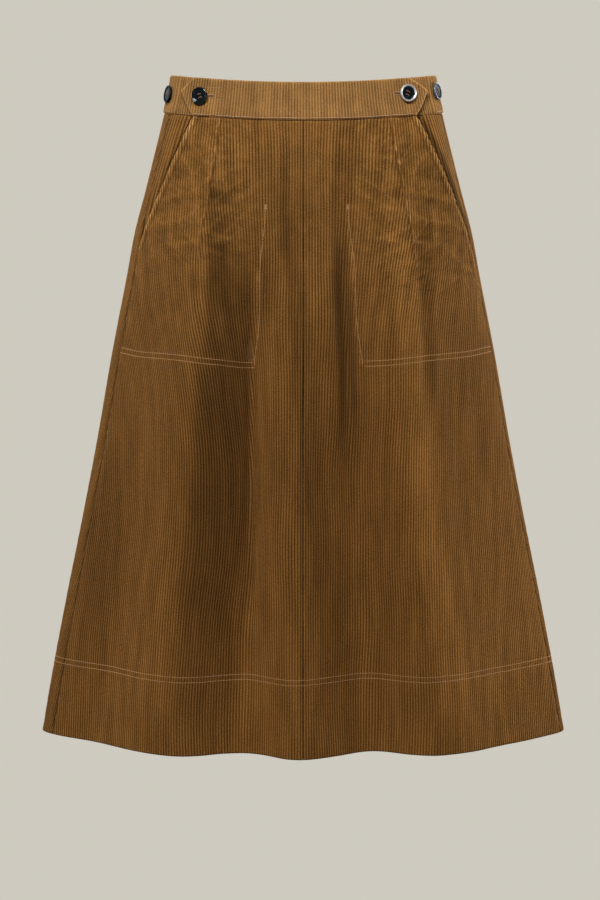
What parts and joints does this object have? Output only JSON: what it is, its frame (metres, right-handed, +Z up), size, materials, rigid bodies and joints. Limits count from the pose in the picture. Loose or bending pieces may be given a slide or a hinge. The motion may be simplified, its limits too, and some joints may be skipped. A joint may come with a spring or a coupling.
{
  "type": "a-line skirt",
  "caption": "Knee-length A-line skirt in wide-wale corduroy with a buttoned tab waistband and slanted front pockets, filled out as worn.",
  "frame": {"origin": "the middle of the hollow at half the height of the waistband, where the waist holds the skirt", "axes": "+Z up, from hem to waist; -Y is the way the front faces; +X is towards the wearer's left side"},
  "size_m": [0.5846, 0.3139, 0.7304],
  "materials": {
    "corduroy": "cotton corduroy with 3.1 mm wales, matt with a soft nap",
    "waistband": "the same corduroy, doubled and pressed",
    "thread": "tan topstitching thread",
    "button": "polished dark horn",
    "button_metal": "bright metal rim round a dark polished face"
  },
  "bodies": {
    "root": {"back": "corduroy", "front_left": "corduroy", "front_right": "corduroy", "pocket_left": "corduroy", "pocket_right": "corduroy", "waistband_front": "waistband", "waistband_back": "waistband", "button_front_left": "button", "button_front_right": "button_metal", "button_side_left": "button", "button_side_right": "button_metal"}
  },
  "joints": []
}
